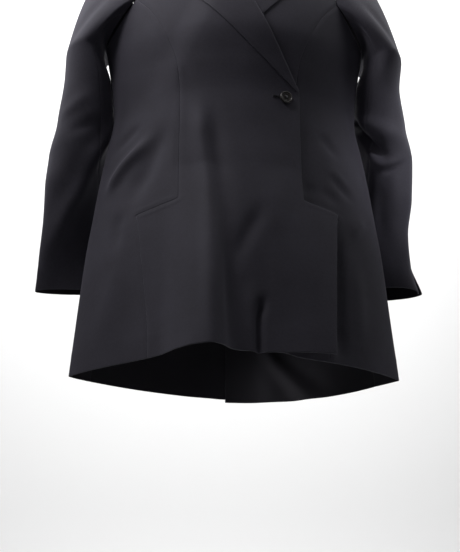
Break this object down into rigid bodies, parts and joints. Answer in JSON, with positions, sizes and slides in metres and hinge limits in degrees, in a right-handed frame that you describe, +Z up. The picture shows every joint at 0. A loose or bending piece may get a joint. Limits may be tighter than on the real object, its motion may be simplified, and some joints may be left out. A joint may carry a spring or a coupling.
{
  "type": "jacket",
  "caption": "Charcoal wool peak-lapel jacket, filled out and hollow, lapped right over left, with vents open at the back hem and the cuffs",
  "frame": {"origin": "centre of the neck opening at the height of the back neck seam, where the wearer's neck and shoulders hold the jacket up", "axes": "+Z up, out of the neck; -Y towards the front; +X towards the wearer's left"},
  "size_m": [0.6375, 0.3456, 0.83],
  "materials": {
    "back_left": "matte",
    "back_right": "matte",
    "button": "satin",
    "collar": "matte",
    "front_left": "matte",
    "front_right": "matte",
    "lapel_left": "matte",
    "lapel_right": "matte",
    "side_left": "matte",
    "side_right": "matte",
    "sleeve_top_left": "matte",
    "sleeve_top_right": "matte",
    "sleeve_under_left": "matte",
    "sleeve_under_right": "matte"
  },
  "bodies": {
    "root": {"back_left": "back_left", "back_right": "back_right", "button": "button", "collar": "collar", "front_left": "front_left", "front_right": "front_right", "lapel_left": "lapel_left", "lapel_right": "lapel_right", "side_left": "side_left", "side_right": "side_right", "sleeve_top_left": "sleeve_top_left", "sleeve_top_right": "sleeve_top_right", "sleeve_under_left": "sleeve_under_left", "sleeve_under_right": "sleeve_under_right"}
  },
  "joints": []
}
